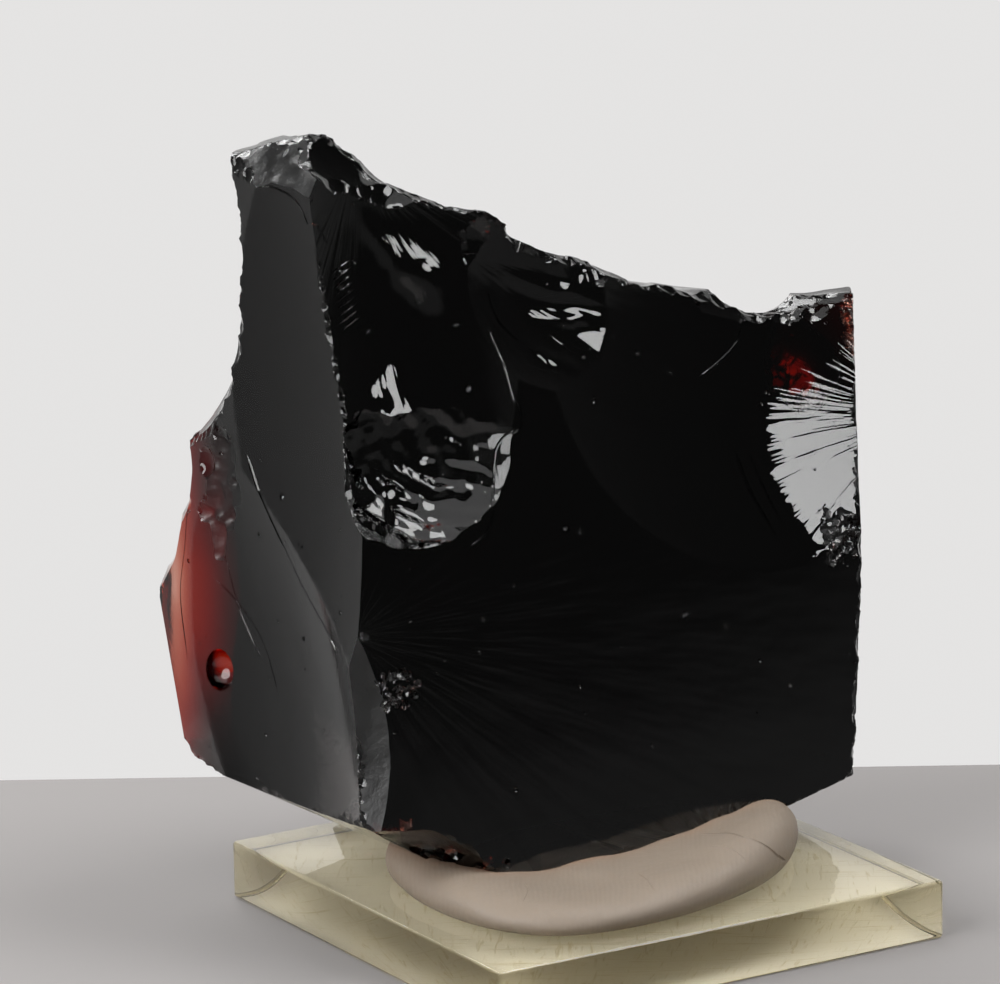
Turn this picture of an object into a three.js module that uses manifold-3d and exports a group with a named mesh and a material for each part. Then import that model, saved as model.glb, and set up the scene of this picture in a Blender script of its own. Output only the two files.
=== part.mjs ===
// A chunk of dark red slag glass, bedded in a lump of mineral tack on a clear square base.
// Millimetres, +Z up, -Y towards the viewer. The origin is the middle of the base's underside.
import * as THREE from 'three';
import { mergeVertices } from 'three/addons/utils/BufferGeometryUtils.js';
import Module from 'manifold-3d';

const wasm = await Module();
wasm.setup();

// ---- driving dimensions ----
const BASE = { side: 50.8, thick: 5.84, turn: 31.5, arris: 0.3 };
const SEAT_GAP = 0.3;

// The block that the chunk is hewn from.
const BLANK = { size: [84, 60, 84], middle: [-5, 5, 45] };

// The front is one broad, gently swelling break.
const FRONT = { at: [2.95, -3.97, 29.28], facing: [0.545, -0.821, 0.174], radius: 220 };

// Flat breaks that bound the chunk: a point on each and the way it faces.
const HEWN_FACES = {
  underside: { at: [0, -8, 7.6], facing: [0.06, 0.02, -1] },
  back: { at: [5, 30, 35], facing: [0.0, 0.99, 0.08] },
  back_right: { at: [28, 29, 40], facing: [0.75, 0.66, -0.02] },
  back_left: { at: [-32, 24, 35], facing: [-0.5, 0.86, 0.0] },
  right: { at: [28.3, 17, 45], facing: [1, 0.02, 0.0] },
  right_foot: { at: [28, 15.4, 29], facing: [0.95, 0.2, -0.1] },
  left: { at: [-32.4, 1.5, 47.4], facing: [-0.874, -0.48, 0.02] },
  brow: { at: [-24.6, -9.5, 73.9], facing: [-0.66, -0.486, 0.575] },
  cap: { at: [-28.5, 0, 78.0], facing: [-0.25, 0.1, 0.96] },
  heel: { at: [-28, -8, 14.7], facing: [-0.42, -0.31, -0.86] },
  heel_left: { at: [-36, 8, 13.3], facing: [-0.3, -0.1, -0.95] },
  right_heel: { at: [21.5, 6, 9.8], facing: [0.36, -0.2, -0.91] },
  fin_edge: { at: [-42, 14, 30], facing: [-1, 0, 0] },
  fin_foot: { at: [-40.4, 12, 19.5], facing: [-0.985, 0, -0.17] },
  fin_corner: { at: [-39.1, 12, 14.4], facing: [-0.8, 0, -0.6] },
};

// Bowls left by flakes: the deepest point, the way it faces out, and its radius.
const FLAKES = {
  upper_left: {
    at: [-25.5, -5.6, 52], facing: [-0.81, -0.57, 0.07], radius: 60,
    along: [0, 0, 1], stretch: 1.4,
  },
  lower_left: {
    at: [-29.4, 0.4, 31], facing: [-0.845, -0.53, -0.06], radius: 50,
    along: [-0.25, 0.5, 0.83], stretch: 1.35,
  },
  neck: { at: [-31.4, 6, 65.5], facing: [-0.98, 0.2, 0], radius: 16, along: [0, 0, 1], stretch: 1.5 },
  neck_back: { at: [-28, 12, 66], facing: [-0.8, 0.6, 0.1], radius: 24, along: [0, 0, 1], stretch: 1.3 },
  crest: { at: [1.5, 8.8, 63.8], facing: [0.2, 0.36, 0.91], radius: 92 },
  crest_dip: { at: [15.2, 18.5, 57.3], facing: [0.05, -0.15, 0.98], radius: 12 },
  shoulder: {
    at: [-17.0, -3.2, 59.5], facing: [0.42, -0.83, 0.37], radius: 19.5,
    along: [-0.12, 0.33, 0.94], stretch: 1.9,
  },
  shoulder_foot: {
    at: [-16.6, -8.9, 45.4], facing: [0.36, -0.86, 0.36], radius: 15.5, struck: [-17, -5, 58],
    ripple: { length: 2.4, height: 0.11, reach: 60 },
  },
  crest_bite: {
    at: [-2.4, 6.2, 60.2], facing: [0.5, -0.75, 0.42], radius: 13.8, struck: [-2, 8, 68],
    along: [0.7, 0.4, -0.5], stretch: 1.25, ripple: { length: 2.4, height: 0.11, reach: 60 },
  },
  right_bay: { at: [17.8, 18.9, 52.6], facing: [0.56, -0.78, 0.27], radius: 66 },
  crest_bevel: {
    at: [9.2, 12.0, 60.4], facing: [0.25, -0.6, 0.76], radius: 12, along: [0.75, 0.55, -0.3], stretch: 2,
  },
  right_bevel: {
    at: [22.3, 22.4, 57.0], facing: [0.2, -0.65, 0.73], radius: 10, along: [0.8, 0.55, 0.05], stretch: 1.8,
  },
  left_bevel: {
    at: [-18.6, 0.2, 74.2], facing: [0.3, -0.6, 0.74], radius: 8, along: [0.8, 0.4, -0.45], stretch: 2,
  },
  sliver: { at: [-21.6, -17.9, 23.5], facing: [0.1, -0.99, -0.05], radius: 26 },
  toe: { at: [-14.2, -15.2, 12.5], facing: [-0.15, -0.66, -0.74], radius: 15 },
  fin_back: { at: [-40.1, 15.7, 30], facing: [0.874, 0.48, -0.06], radius: 10, along: [0, 0, 1], stretch: 4 },
  back_pit: { at: [21.4, 23.4, 48.2], facing: [0.1, 0.98, 0.15], radius: 4.5 },
  back_upper: { at: [-12, 25.5, 56], facing: [-0.1, 0.95, 0.3], radius: 48 },
  back_lower: { at: [4, 26.5, 24], facing: [0.1, 0.98, -0.15], radius: 40 },
  back_flank: { at: [-22, 25, 32], facing: [-0.4, 0.9, 0], radius: 30 },
  fin_shoulder: { at: [-40.2, 15, 33.4], facing: [-0.958, 0, 0.287], radius: 28 },
  fin_bite: { at: [-38.6, 13, 39.4], facing: [-0.96, 0, 0.28], radius: 15 },
};

// Chips along edges: the route of the edge, how many, their size and the side they bite from.
const CHIPPED_EDGES = {
  main_arris: {
    route: [[-24.8, -4.9, 73], [-24.3, -7.4, 64.3], [-22.8, -9.9, 51.2], [-21.8, -14.2, 40.5]],
    count: 6, size: 0.8, bite: [-0.25, -0.97, 0.05],
  },
  crest: {
    route: [[-22.5, 0, 78], [-16.7, 1.8, 74], [-9.6, 1.6, 70.2], [-3.7, 6.9, 65.8], [2.9, 9.3, 62.8]],
    count: 7, size: 1.4, bite: [0.1, -0.3, 0.95],
  },
  crest_right: {
    route: [[2.9, 9.3, 62.8], [6.4, 11, 61.6], [16.7, 20, 58.2], [22.3, 24.3, 58], [27.6, 26, 57.5]],
    count: 7, size: 1.5, bite: [0.1, -0.35, 0.93],
  },
  right_rim: {
    route: [[28, 25, 57], [28, 19, 45], [28, 15.5, 31], [27.4, 12.5, 19]],
    count: 6, size: 1.3, bite: [0.8, -0.6, 0],
  },
  neck_edge: {
    route: [[-33, 4, 75], [-32, 2, 63], [-32.4, 3, 55], [-35, 6, 48.5], [-38, 10, 45]],
    count: 5, size: 1.1, bite: [-0.95, 0.1, 0.3],
  },
  fin_rim: {
    route: [[-38.6, 13, 43], [-40, 15, 35], [-41.4, 17, 28], [-40.2, 15, 19], [-38, 11, 14.4]],
    count: 6, size: 1.2, bite: [-1, -0.1, 0],
  },
  foot: {
    route: [[-12, -15, 8.4], [-4, -11.5, 8], [5, -6.5, 8.4], [14, 0, 9], [22, 6.6, 10.4]],
    count: 5, size: 0.9, bite: [0.2, -0.7, -0.6],
  },
};

// Crushed patches: the middle, the way it faces, its half sizes, how many bites and their size.
const CRUSHED = {
  pit: { at: [-18.0, -16.4, 28.4], facing: [0.4, -0.9, 0.1], spread: [1.9, 1.5], count: 6, size: 0.9 },
  toe: { at: [-15.0, -15.4, 12.2], facing: [-0.2, -0.62, -0.76], spread: [4, 2], count: 8, size: 1.2 },
  right_bruise: { at: [27.2, 17.4, 34.6], facing: [0.7, -0.7, 0.2], spread: [2.2, 3.2], count: 7, size: 1.2 },
  brow: { at: [-28.2, -3.6, 76.2], facing: [-0.66, -0.49, 0.57], spread: [4, 1.8], count: 5, size: 1.3 },
};

const BUBBLE = { at: [-35.9, 7.7, 23.9], radius: 1.6 };

// The lump of tack: its outline on the base, and its rounded side as (reach, rise) steps.
const TACK = {
  middle: [0.5, -6],
  outline: [
    [-19.1, -3], [-18, -10.5], [-14.4, -17.5], [-9.5, -22.6], [-3.5, -25.1], [3.2, -23.4],
    [10.3, -17.6], [17.3, -7.4], [20.6, 3.6], [17, 11], [8, 14], [-3, 12.5], [-13, 7.5],
  ],
  steps: 36,
  half_length: 20,
  height: 2.9,
  end_rise: 3.0,
  profile: [[0.95, 0], [0.99, 0.18], [1, 0.42], [0.975, 0.7], [0.92, 0.9], [0.82, 1], [0.5, 1]],
};

// How far pebbles differ in size and place, as a share of their radius or spacing.
const PEBBLE = { size_scatter: 0.4, step_scatter: 0.35, stand_off: 0.35, stand_off_scatter: 0.25 };
const GOLDEN_ANGLE = Math.PI * (3 - Math.sqrt(5));

const CHORD_ERROR = 0.08;
const MOST_WEDGES = 72;
const BUBBLE_FACETS = [20, 14];

// ---- solids ----
function solidOf(geometry) {
  geometry.deleteAttribute('normal');
  geometry.deleteAttribute('uv');
  const merged = mergeVertices(geometry, 1e-4);
  return new wasm.Manifold(new wasm.Mesh({
    numProp: 3,
    vertProperties: new Float32Array(merged.attributes.position.array),
    triVerts: new Uint32Array(merged.index.array),
  }));
}

function geometryOf(solid) {
  const mesh = solid.getMesh();
  const geometry = new THREE.BufferGeometry();
  geometry.setAttribute('position', new THREE.BufferAttribute(mesh.vertProperties, 3));
  geometry.setIndex(new THREE.BufferAttribute(mesh.triVerts, 1));
  geometry.computeVertexNormals();
  return geometry;
}

const vector = (xyz) => new THREE.Vector3(...xyz);
const turnTo = (from, direction) => new THREE.Quaternion().setFromUnitVectors(from, direction);

// A block lying wholly beyond a plane, for hewing a face.
function blockBeyond({ at, facing }) {
  const side = 2 * BLANK.size[0];
  const normal = vector(facing).normalize();
  const geometry = new THREE.BoxGeometry(side, side, side);
  geometry.applyQuaternion(turnTo(new THREE.Vector3(0, 0, 1), normal));
  geometry.translate(...vector(at).addScaledVector(normal, side / 2));
  return solidOf(geometry);
}

// A ball whose rings run round its pole, with ripples that fade as they run out.
function ball(centre, radius, pole, ripple) {
  const plainStep = Math.sqrt(8 * radius * CHORD_ERROR);
  const step = ripple ? ripple.length / 4 : plainStep;
  const profile = [new THREE.Vector2(0, radius)];
  let run = step;
  while (run < Math.PI * radius - step / 2) {
    const fade = ripple ? Math.max(0, 1 - run / ripple.reach) : 0;
    const swell = ripple ? ripple.height * fade * Math.sin(2 * Math.PI * run / ripple.length) : 0;
    const angle = run / radius;
    profile.push(new THREE.Vector2((radius + swell) * Math.sin(angle), (radius + swell) * Math.cos(angle)));
    run += fade > 0 ? step : plainStep;
  }
  profile.push(new THREE.Vector2(0, -radius));
  const wedges = Math.min(MOST_WEDGES, Math.round(2 * Math.PI * radius / plainStep));
  const geometry = new THREE.LatheGeometry(profile.reverse(), wedges);
  geometry.applyQuaternion(turnTo(new THREE.Vector3(0, 1, 0), pole));
  geometry.translate(...centre);
  return geometry;
}

function stretchAlong(geometry, middle, direction, factor) {
  const position = geometry.attributes.position;
  const point = new THREE.Vector3();
  for (let i = 0; i < position.count; i += 1) {
    point.fromBufferAttribute(position, i);
    const run = point.clone().sub(middle).dot(direction);
    point.addScaledVector(direction, run * (factor - 1));
    position.setXYZ(i, point.x, point.y, point.z);
  }
}

function flakeBowl({ at, facing, radius, struck, along, stretch, ripple }) {
  const floor = vector(at);
  const normal = vector(facing).normalize();
  const centre = floor.clone().addScaledVector(normal, radius);
  const pole = struck ? vector(struck).sub(centre).normalize() : normal.clone().negate();
  const geometry = ball(centre, radius, pole, ripple);
  if (along) stretchAlong(geometry, floor, vector(along).normalize(), stretch);
  return solidOf(geometry);
}

function swellingFace({ at, facing, radius, struck, ripple }) {
  const normal = vector(facing).normalize();
  const centre = vector(at).addScaledVector(normal, -radius);
  const pole = struck ? vector(struck).sub(centre).normalize() : normal.clone();
  return solidOf(ball(centre, radius, pole, ripple));
}

// A repeatable scatter between -1 and 1 for each whole number.
function scatter(seed) {
  const noise = Math.abs(Math.sin(seed * 12.9898) * 43758.5453);
  return 2 * (noise - Math.floor(noise)) - 1;
}

// Chips and crushed places are bitten out by many-sided pebbles, standing partly off the surface.
function pebble(foot, facing, size, seed) {
  const radius = size * (1 + PEBBLE.size_scatter * scatter(seed));
  const off = radius * (PEBBLE.stand_off + PEBBLE.stand_off_scatter * scatter(seed + 13));
  const middle = foot.clone().addScaledVector(facing, off);
  const geometry = new THREE.IcosahedronGeometry(radius, 0);
  geometry.rotateX(seed).rotateY(2 * seed).rotateZ(3 * seed);
  geometry.translate(...middle);
  return solidOf(geometry);
}

function chipsAlong({ route, count, size, bite }, row) {
  const edge = new THREE.CatmullRomCurve3(route.map(vector));
  const facing = vector(bite).normalize();
  return Array.from({ length: count }, (_, i) => {
    const seed = 31 * row + i;
    const share = (i + 0.5 + PEBBLE.step_scatter * scatter(seed + 7)) / count;
    return pebble(edge.getPointAt(share), facing, size, seed);
  });
}

function crushedPatch({ at, facing, spread, count, size }, row) {
  const normal = vector(facing).normalize();
  const side = new THREE.Vector3(0, 0, 1).cross(normal).normalize();
  const rise = normal.clone().cross(side);
  return Array.from({ length: count }, (_, i) => {
    const out = Math.sqrt((i + 0.5) / count);
    const turn = i * GOLDEN_ANGLE;
    const foot = vector(at)
      .addScaledVector(side, spread[0] * out * Math.cos(turn))
      .addScaledVector(rise, spread[1] * out * Math.sin(turn));
    return pebble(foot, normal, size, 57 * row + i);
  });
}

// The open bubble in the left face.
function bubble() {
  const geometry = new THREE.SphereGeometry(BUBBLE.radius, ...BUBBLE_FACETS);
  geometry.translate(...BUBBLE.at);
  return solidOf(geometry);
}

// ---- pieces ----
function makeChunk() {
  let chunk = solidOf(new THREE.BoxGeometry(...BLANK.size).translate(...BLANK.middle));
  for (const face of Object.values(HEWN_FACES)) chunk = chunk.subtract(blockBeyond(face));
  chunk = chunk.intersect(swellingFace(FRONT));
  for (const flake of Object.values(FLAKES)) chunk = chunk.subtract(flakeBowl(flake));
  const chips = [
    ...Object.values(CHIPPED_EDGES).flatMap(chipsAlong),
    ...Object.values(CRUSHED).flatMap(crushedPatch),
  ];
  for (const chip of chips) chunk = chunk.subtract(chip);
  return chunk.subtract(bubble());
}

function makeBase() {
  const half = BASE.side / 2;
  const square = new THREE.Shape([[-half, -half], [half, -half], [half, half], [-half, half]]
    .map(([x, y]) => new THREE.Vector2(x, y)));
  const geometry = new THREE.ExtrudeGeometry(square, {
    depth: BASE.thick - 2 * BASE.arris,
    bevelThickness: BASE.arris,
    bevelSize: BASE.arris,
    bevelOffset: -BASE.arris,
    bevelSegments: 1,
  });
  geometry.translate(0, 0, BASE.arris);
  geometry.rotateZ(THREE.MathUtils.degToRad(BASE.turn));
  return geometry;
}

// The lump of tack, squeezed out round the foot of the chunk.
function tackLump() {
  const outline = new THREE.CatmullRomCurve3(TACK.outline.map(([x, y]) => new THREE.Vector3(x, y, 0)), true);
  const rim = outline.getSpacedPoints(TACK.steps).slice(0, TACK.steps);
  const [cx, cy] = TACK.middle;
  const rings = TACK.profile.map(([reach, rise]) => rim.map((p) => {
    const x = cx + (p.x - cx) * reach;
    const top = TACK.height + TACK.end_rise * (x / TACK.half_length) ** 2;
    return new THREE.Vector3(x, cy + (p.y - cy) * reach, BASE.thick + rise * top);
  }));
  const corners = [new THREE.Vector3(cx, cy, BASE.thick), ...rings.flat()];
  corners.push(new THREE.Vector3(cx, cy, BASE.thick + TACK.height));
  const top = corners.length - 1;
  const faces = [];
  const n = TACK.steps;
  for (let i = 0; i < n; i += 1) {
    const j = (i + 1) % n;
    faces.push(0, 1 + j, 1 + i);
    for (let r = 0; r < rings.length - 1; r += 1) {
      const low = 1 + r * n;
      const high = low + n;
      faces.push(low + i, low + j, high + j, low + i, high + j, high + i);
    }
    const last = 1 + (rings.length - 1) * n;
    faces.push(last + i, last + j, top);
  }
  const geometry = new THREE.BufferGeometry().setFromPoints(corners);
  geometry.setIndex(faces);
  return solidOf(geometry);
}

// The tack keeps the seat gap to the glass, so it is cut by the chunk moved a little each way.
function makeTack(chunk) {
  let tack = tackLump();
  const g = SEAT_GAP;
  const moves = [[0, 0, -g], [g, 0, 0], [-g, 0, 0], [0, g, 0], [0, -g, 0]];
  for (const move of moves) tack = tack.subtract(chunk.translate(move));
  return tack;
}

function meshOf(name, geometry, color, roughness) {
  const mesh = new THREE.Mesh(geometry, new THREE.MeshStandardMaterial({ color, roughness, metalness: 0 }));
  mesh.name = name;
  return mesh;
}

const chunk = makeChunk();
const part = new THREE.Group();
part.add(meshOf('slag_glass_chunk', geometryOf(chunk), 0x120606, 0.05));
part.add(meshOf('mineral_tack', geometryOf(makeTack(chunk)), 0xd9cfc4, 0.75));
part.add(meshOf('acrylic_base', makeBase(), 0xe6dfb4, 0.05));
export default part;
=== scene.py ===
"""A chunk of broken slag glass, near black and deep red where it is thin, bedded in a lump of tack
on a clear square base. Sizes in the tables are millimetres, +Z up, -Y towards the viewer."""

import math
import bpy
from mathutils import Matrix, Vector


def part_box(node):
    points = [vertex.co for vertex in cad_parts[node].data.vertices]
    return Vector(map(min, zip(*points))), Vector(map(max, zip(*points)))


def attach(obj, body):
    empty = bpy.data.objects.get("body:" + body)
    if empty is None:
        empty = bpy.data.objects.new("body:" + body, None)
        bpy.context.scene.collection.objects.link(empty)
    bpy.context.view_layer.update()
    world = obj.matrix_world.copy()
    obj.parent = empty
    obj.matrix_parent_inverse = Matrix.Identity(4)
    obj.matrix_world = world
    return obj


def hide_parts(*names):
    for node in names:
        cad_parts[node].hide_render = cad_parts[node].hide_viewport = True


bl_info = {
    "name": "Slag glass chunk",
    "version": (1, 0, 0),
    "blender": (4, 5, 0),
    "location": "View3D > Sidebar > Glass chunk",
    "description": "Models a chunk of slag glass, its lump of tack and its clear base",
    "category": "Add Mesh",
}

import bmesh
import bpy
import numpy as np
from bpy.props import FloatProperty, FloatVectorProperty, IntProperty, PointerProperty
from mathutils import Matrix, Vector
from mathutils.bvhtree import BVHTree

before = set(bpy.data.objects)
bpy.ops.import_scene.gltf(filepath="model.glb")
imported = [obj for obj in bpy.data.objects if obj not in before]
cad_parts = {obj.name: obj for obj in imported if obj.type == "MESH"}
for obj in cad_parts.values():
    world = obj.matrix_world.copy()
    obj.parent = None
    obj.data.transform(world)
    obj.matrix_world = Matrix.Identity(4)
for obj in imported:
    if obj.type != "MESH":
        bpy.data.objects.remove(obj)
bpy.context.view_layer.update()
BASE_LOW, BASE_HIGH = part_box("acrylic_base")

MM = 0.001
BASE_SIDE = 50.8
BASE_TURN = math.radians(31.5)
BASE_THICK = BASE_HIGH.z / MM
TACK_CRISP = math.radians(50)
BASE_CRISP = math.radians(40)
SEED = 7
WHITE = (1, 1, 1, 1)
PALE = (1, 0.99, 0.982, 1)

# ---- the chunk's breaks ----
# Each break: a point on it, the way it faces, and its radius where it is a bowl, stretched along a
# way. half and step are the reach and the grain of its modelled surface, and deep its cutter's height.
# swell is the (height, length) of its gentle waves, ripple that of the rings round the struck point.
# knuckles are lumps on it: place, lead, half length, half width and height. hackle and rough are its
# finish.
BLANK = {"size": (84, 60, 84), "middle": (-5, 5, 45)}

FLAT_BREAKS = {
    "top": dict(at=(0, 0, 79.6), facing=(0, 0, 1)),
    "underside": dict(at=(0, -8, 7.6), facing=(0.06, 0.02, -1)),
    "heel": dict(at=(-28, -8, 14.7), facing=(-0.42, -0.31, -0.86)),
    "heel_left": dict(at=(-36, 8, 13.3), facing=(-0.3, -0.1, -0.95)),
    "right_heel": dict(at=(21.5, 6, 9.8), facing=(0.36, -0.2, -0.91)),
    "back": dict(at=(5, 30.4, 35), facing=(0, 0.99, 0.03)),
    "back_right": dict(at=(28, 29, 40), facing=(0.75, 0.66, -0.02)),
    "back_left": dict(at=(-32, 24, 35), facing=(-0.5, 0.86, 0)),
    "right": dict(at=(28.3, 17, 45), facing=(1, 0.02, 0)),
    "right_foot": dict(at=(28, 15.4, 29), facing=(0.95, 0.2, -0.1)),
    "fin_edge": dict(at=(-42, 14, 30), facing=(-1, 0, 0)),
    "fin_foot": dict(at=(-40.4, 12, 19.5), facing=(-0.985, 0, -0.17)),
    "fin_corner": dict(at=(-39.1, 12, 14.4), facing=(-0.8, 0, -0.6)),
}

BREAKS = {
    "left": dict(
        at=(-32.4, 1.5, 47.4), facing=(-0.874, -0.48, 0.02), half=44, step=0.6, swell=(0.12, 9),
        struck=(-30, 0, 80), rough=0.06,
    ),
    "brow": dict(
        at=(-24.6, -9.5, 73.9), facing=(-0.66, -0.486, 0.575), half=16, step=0.35, swell=(0.35, 2.6),
        rough=0.3,
    ),
    "cap": dict(
        at=(-28.5, 0, 78), facing=(-0.25, 0.1, 0.96), half=24, step=0.4, swell=(0.35, 3.2), rough=0.3,
    ),
    "front": dict(
        at=(2.95, -3.97, 29.28), facing=(0.545, -0.821, 0.174), radius=-420, half=52, step=0.55,
        swell=(0.05, 12), struck=(-22, -18, 34), hackle=0.4, rough=0.01,
    ),
    "upper_left": dict(
        at=(-25.5, -5.6, 52), facing=(-0.81, -0.57, 0.07), radius=60, along=(0, 0, 1), stretch=1.4, half=42,
        step=0.6, swell=(0.06, 11), struck=(-28, -4, 80), rough=0.08,
    ),
    "lower_left": dict(
        at=(-29.4, 0.4, 31), facing=(-0.845, -0.53, -0.06), radius=50, along=(-0.25, 0.5, 0.83),
        stretch=1.35, half=36, step=0.55, swell=(0.08, 9), struck=(-37, 8, 15), hackle=0.08, rough=0.08,
    ),
    "neck": dict(
        at=(-31.4, 6, 65.5), facing=(-0.98, 0.2, 0), radius=16, along=(0, 0, 1), stretch=1.5, half=22,
        step=0.4, swell=(0.45, 3.4), rough=0.1,
    ),
    "neck_back": dict(
        at=(-28, 12, 66), facing=(-0.8, 0.6, 0.1), radius=24, along=(0, 0, 1), stretch=1.3, half=26,
        step=0.8, swell=(0.15, 6), rough=0.05,
    ),
    "crest": dict(
        at=(1.5, 8.8, 63.8), facing=(0.2, 0.36, 0.91), radius=92, half=62, step=0.7, swell=(0.8, 5),
        rough=0.08,
    ),
    "crest_dip": dict(
        at=(17.5, 25.5, 54.8), facing=(0.05, 0.25, 0.97), radius=5, along=(0.05, 1, -0.26), stretch=3,
        half=13, step=0.3, swell=(0.25, 2.2), rough=0.08,
    ),
    "shoulder": dict(
        at=(-17.15, -3.1, 60.6), facing=(0.43, -0.87, 0.22), radius=19.5, along=(-0.12, 0.33, 0.94),
        stretch=1.85, half=32, step=0.45, swell=(0.1, 6), struck=(-21, -2, 77), hackle=0.8, rough=0.01,
        knuckles=(
            ((-15.4, -1, 65), (0.55, 0.1, -0.75), 3.2, 1.9, 1),
            ((-18.6, -2, 68.4), (0.5, 0.1, -0.85), 3, 0.7, 0.4),
            ((-18.6, -6.8, 54.6), (0.5, 0.1, -0.8), 0.9, 0.45, 0.2),
        ),
    ),
    "shoulder_foot": dict(
        at=(-16.2, -6.3, 47.8), facing=(0.38, -0.86, 0.33), radius=11, along=(0.8, 0.45, 0.2), stretch=1.2,
        half=13, step=0.25, swell=(0.35, 1.9), struck=(-8.5, -3, 58), ripple=(0.12, 2.2), hackle=0.5,
        rough=0.02,
        knuckles=(
            ((-13.4, -8.2, 45.6), (0.95, 0.1, 0.2), 1.8, 0.7, 0.35),
            ((-10.6, -7.9, 46.1), (0.6, 0.1, 0.7), 1.2, 0.6, 0.3),
        ),
    ),
    "crest_bite": dict(
        at=(-2.2, 5.35, 60.35), facing=(0.52, -0.81, 0.28), radius=13, along=(0.75, 0.45, -0.3), stretch=2,
        half=16, step=0.3, swell=(0.12, 4), struck=(-13, 0, 68), hackle=0.9, rough=0.02,
        knuckles=(
            ((-2.6, 6.4, 61.9), (0.75, 0.4, -0.3), 5, 0.8, 0.45),
            ((-1.2, 6.2, 58.9), (0.8, 0.4, -0.1), 3.6, 0.8, 0.35),
            ((-2.2, 2.6, 55.8), (0.8, 0.35, -0.45), 2.6, 0.7, 0.35),
        ),
    ),
    "right_bay": dict(
        at=(17.8, 18.9, 52.6), facing=(0.52, -0.8, 0.285), radius=66, half=32, step=0.5, swell=(0.1, 8),
        struck=(34, 26, 44), hackle=1, rough=0.01,
    ),
    "crest_bevel": dict(
        at=(9.2, 12, 60.4), facing=(0.25, -0.6, 0.76), radius=12, along=(0.75, 0.55, -0.3), stretch=2,
        half=14, step=0.35, swell=(0.15, 2.5), rough=0.06,
    ),
    "right_bevel": dict(
        at=(22.5, 24.1, 56.5), facing=(0.2, -0.65, 0.73), radius=10, along=(0.8, 0.55, 0.05), stretch=1.8,
        half=12, step=0.35, swell=(0.15, 2.5), rough=0.06,
    ),
    "left_bevel": dict(
        at=(-18.6, 0.2, 74.2), facing=(0.3, -0.6, 0.74), radius=8, along=(0.8, 0.4, -0.45), stretch=2,
        half=11, step=0.35, swell=(0.15, 2.5), rough=0.06,
    ),
    "sliver": dict(
        at=(-22, -17.9, 23.6), facing=(-0.08, -0.98, 0.16), radius=22, along=(0.1, 0, 1), stretch=1.3,
        half=12, step=0.35, swell=(0.12, 2.4), struck=(-22, -18, 44), hackle=0.6, rough=0.42,
    ),
    "toe": dict(
        at=(-14.2, -15.2, 12.5), facing=(-0.15, -0.66, -0.74), radius=15, half=11, step=0.35,
        swell=(0.3, 1.8), rough=0.2,
    ),
    "fin_back": dict(
        at=(-40.1, 15.7, 30), facing=(0.874, 0.48, -0.06), radius=10, along=(0, 0, 1), stretch=4,
        half=(9.9, 39), deep=19, step=0.6, swell=(0.12, 4), rough=0.1,
    ),
    "back_pit": dict(
        at=(21, 22.2, 47.6), facing=(0.1, 0.98, 0.15), radius=2.8, along=(0.6, 0, -0.8), stretch=1.5,
        half=5, step=0.16, swell=(1.3, 1.3), rough=0.34,
    ),
    "back_upper": dict(
        at=(-12, 25.5, 56), facing=(-0.1, 0.95, 0.3), radius=48, half=32, step=0.9, swell=(0.15, 7),
        rough=0.03,
    ),
    "back_lower": dict(
        at=(4, 26.5, 24), facing=(0.1, 0.98, -0.15), radius=40, half=28, step=0.9, swell=(0.15, 7),
        rough=0.03,
    ),
    "back_flank": dict(
        at=(-22, 25, 32), facing=(-0.4, 0.9, 0), radius=30, half=24, step=0.8, swell=(0.15, 6), rough=0.03,
    ),
    "fin_shoulder": dict(
        at=(-40.2, 15, 33.4), facing=(-0.958, 0, 0.287), radius=28, half=18, step=0.5, swell=(0.15, 3),
        rough=0.1,
    ),
    "fin_flake": dict(
        at=(-34.3, 6.25, 45), facing=(-0.86, -0.49, -0.08), radius=11, along=(-0.1, -0.1, 1), stretch=2.2,
        half=11, step=0.25, swell=(0.8, 1.9), rough=0.4,
    ),
    "fin_bite": dict(
        at=(-38.6, 13, 39.4), facing=(-0.96, 0, 0.28), radius=15, half=14, step=0.5, swell=(0.15, 3),
        rough=0.1,
    ),
}

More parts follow.
